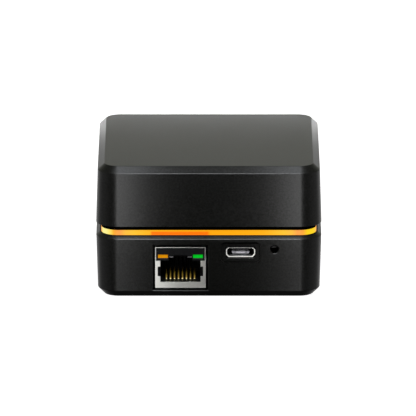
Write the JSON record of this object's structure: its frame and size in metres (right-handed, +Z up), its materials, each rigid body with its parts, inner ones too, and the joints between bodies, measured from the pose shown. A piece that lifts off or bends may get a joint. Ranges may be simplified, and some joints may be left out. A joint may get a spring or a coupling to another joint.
{
  "type": "streaming media player",
  "caption": "Square matte black box with an amber light ring at its seam, and a network socket, a micro power socket and a reset pinhole in its front face.",
  "frame": {"origin": "centre of the square footprint, on the plane that the feet stand on", "axes": "+Z up; -Y is the face with the sockets; +X is to the right as that face is looked at"},
  "size_m": [0.07, 0.07, 0.0425],
  "materials": {
    "shell": "fine matte grain",
    "ring": "translucent, lit from inside",
    "foot_rubber": "matte",
    "screw_steel": "zinc plated",
    "label": "matte film",
    "board": "solder mask",
    "ballast": "dull",
    "shield": "nickel plated",
    "black_plastic": "moulded",
    "gold": "gold plated",
    "amber_lens": "tinted lens, lit",
    "green_lens": "tinted lens, lit",
    "tin": "tin plated",
    "tongue": "moulded",
    "button": "moulded",
    "chip": "epoxy",
    "pad": "soft",
    "sink": "extruded",
    "pin_nylon": "moulded",
    "ferrite": "sintered",
    "cap_yellow": "moulded",
    "cap_tan": "ceramic",
    "led_white": "moulded",
    "antenna": "flexible film",
    "cable": "jacket"
  },
  "bodies": {
    "case": {"top_cover": "shell", "light_ring": "ring", "base_shell": "shell", "rubber_feet": "foot_rubber", "case_screws": "screw_steel", "rating_label": "label", "main_board": "board", "board_screws": "screw_steel", "ballast_plate": "ballast", "ballast_screws": "screw_steel", "ethernet_shield": "shield", "ethernet_housing": "black_plastic", "ethernet_contacts": "gold", "ethernet_led_amber": "amber_lens", "ethernet_led_green": "green_lens", "ethernet_latch_tabs": "tin", "ethernet_pins": "gold", "usb_shell": "shield", "usb_tongue": "tongue", "usb_contacts": "tin", "reset_switch_housing": "black_plastic", "reset_switch_frame": "tin", "reset_dome": "tin", "processor": "chip", "thermal_pad": "pad", "heat_sink": "sink", "heat_sink_pins": "pin_nylon", "heat_sink_springs": "screw_steel", "memory_chips": "chip", "flash_chip": "chip", "ethernet_phy": "chip", "power_regulator": "chip", "power_inductors": "ferrite", "bulk_capacitors": "cap_yellow", "chip_capacitors": "cap_tan", "crystal": "tin", "ring_leds": "led_white", "led_driver": "chip", "wifi_module_board": "board", "wifi_module_shield": "tin", "coax_plugs": "gold", "antenna_left": "antenna", "antenna_right": "antenna", "antenna_cable_left": "cable", "antenna_cable_right": "cable"},
    "reset_button": {"reset_plunger": "button"}
  },
  "joints": [
    {"name": "reset_press", "type": "slide", "parent": "case", "child": "reset_button", "axis": [0, 1, 0], "range_m": [0, 0.00025], "stiffness_N_per_m": 4000}
  ]
}
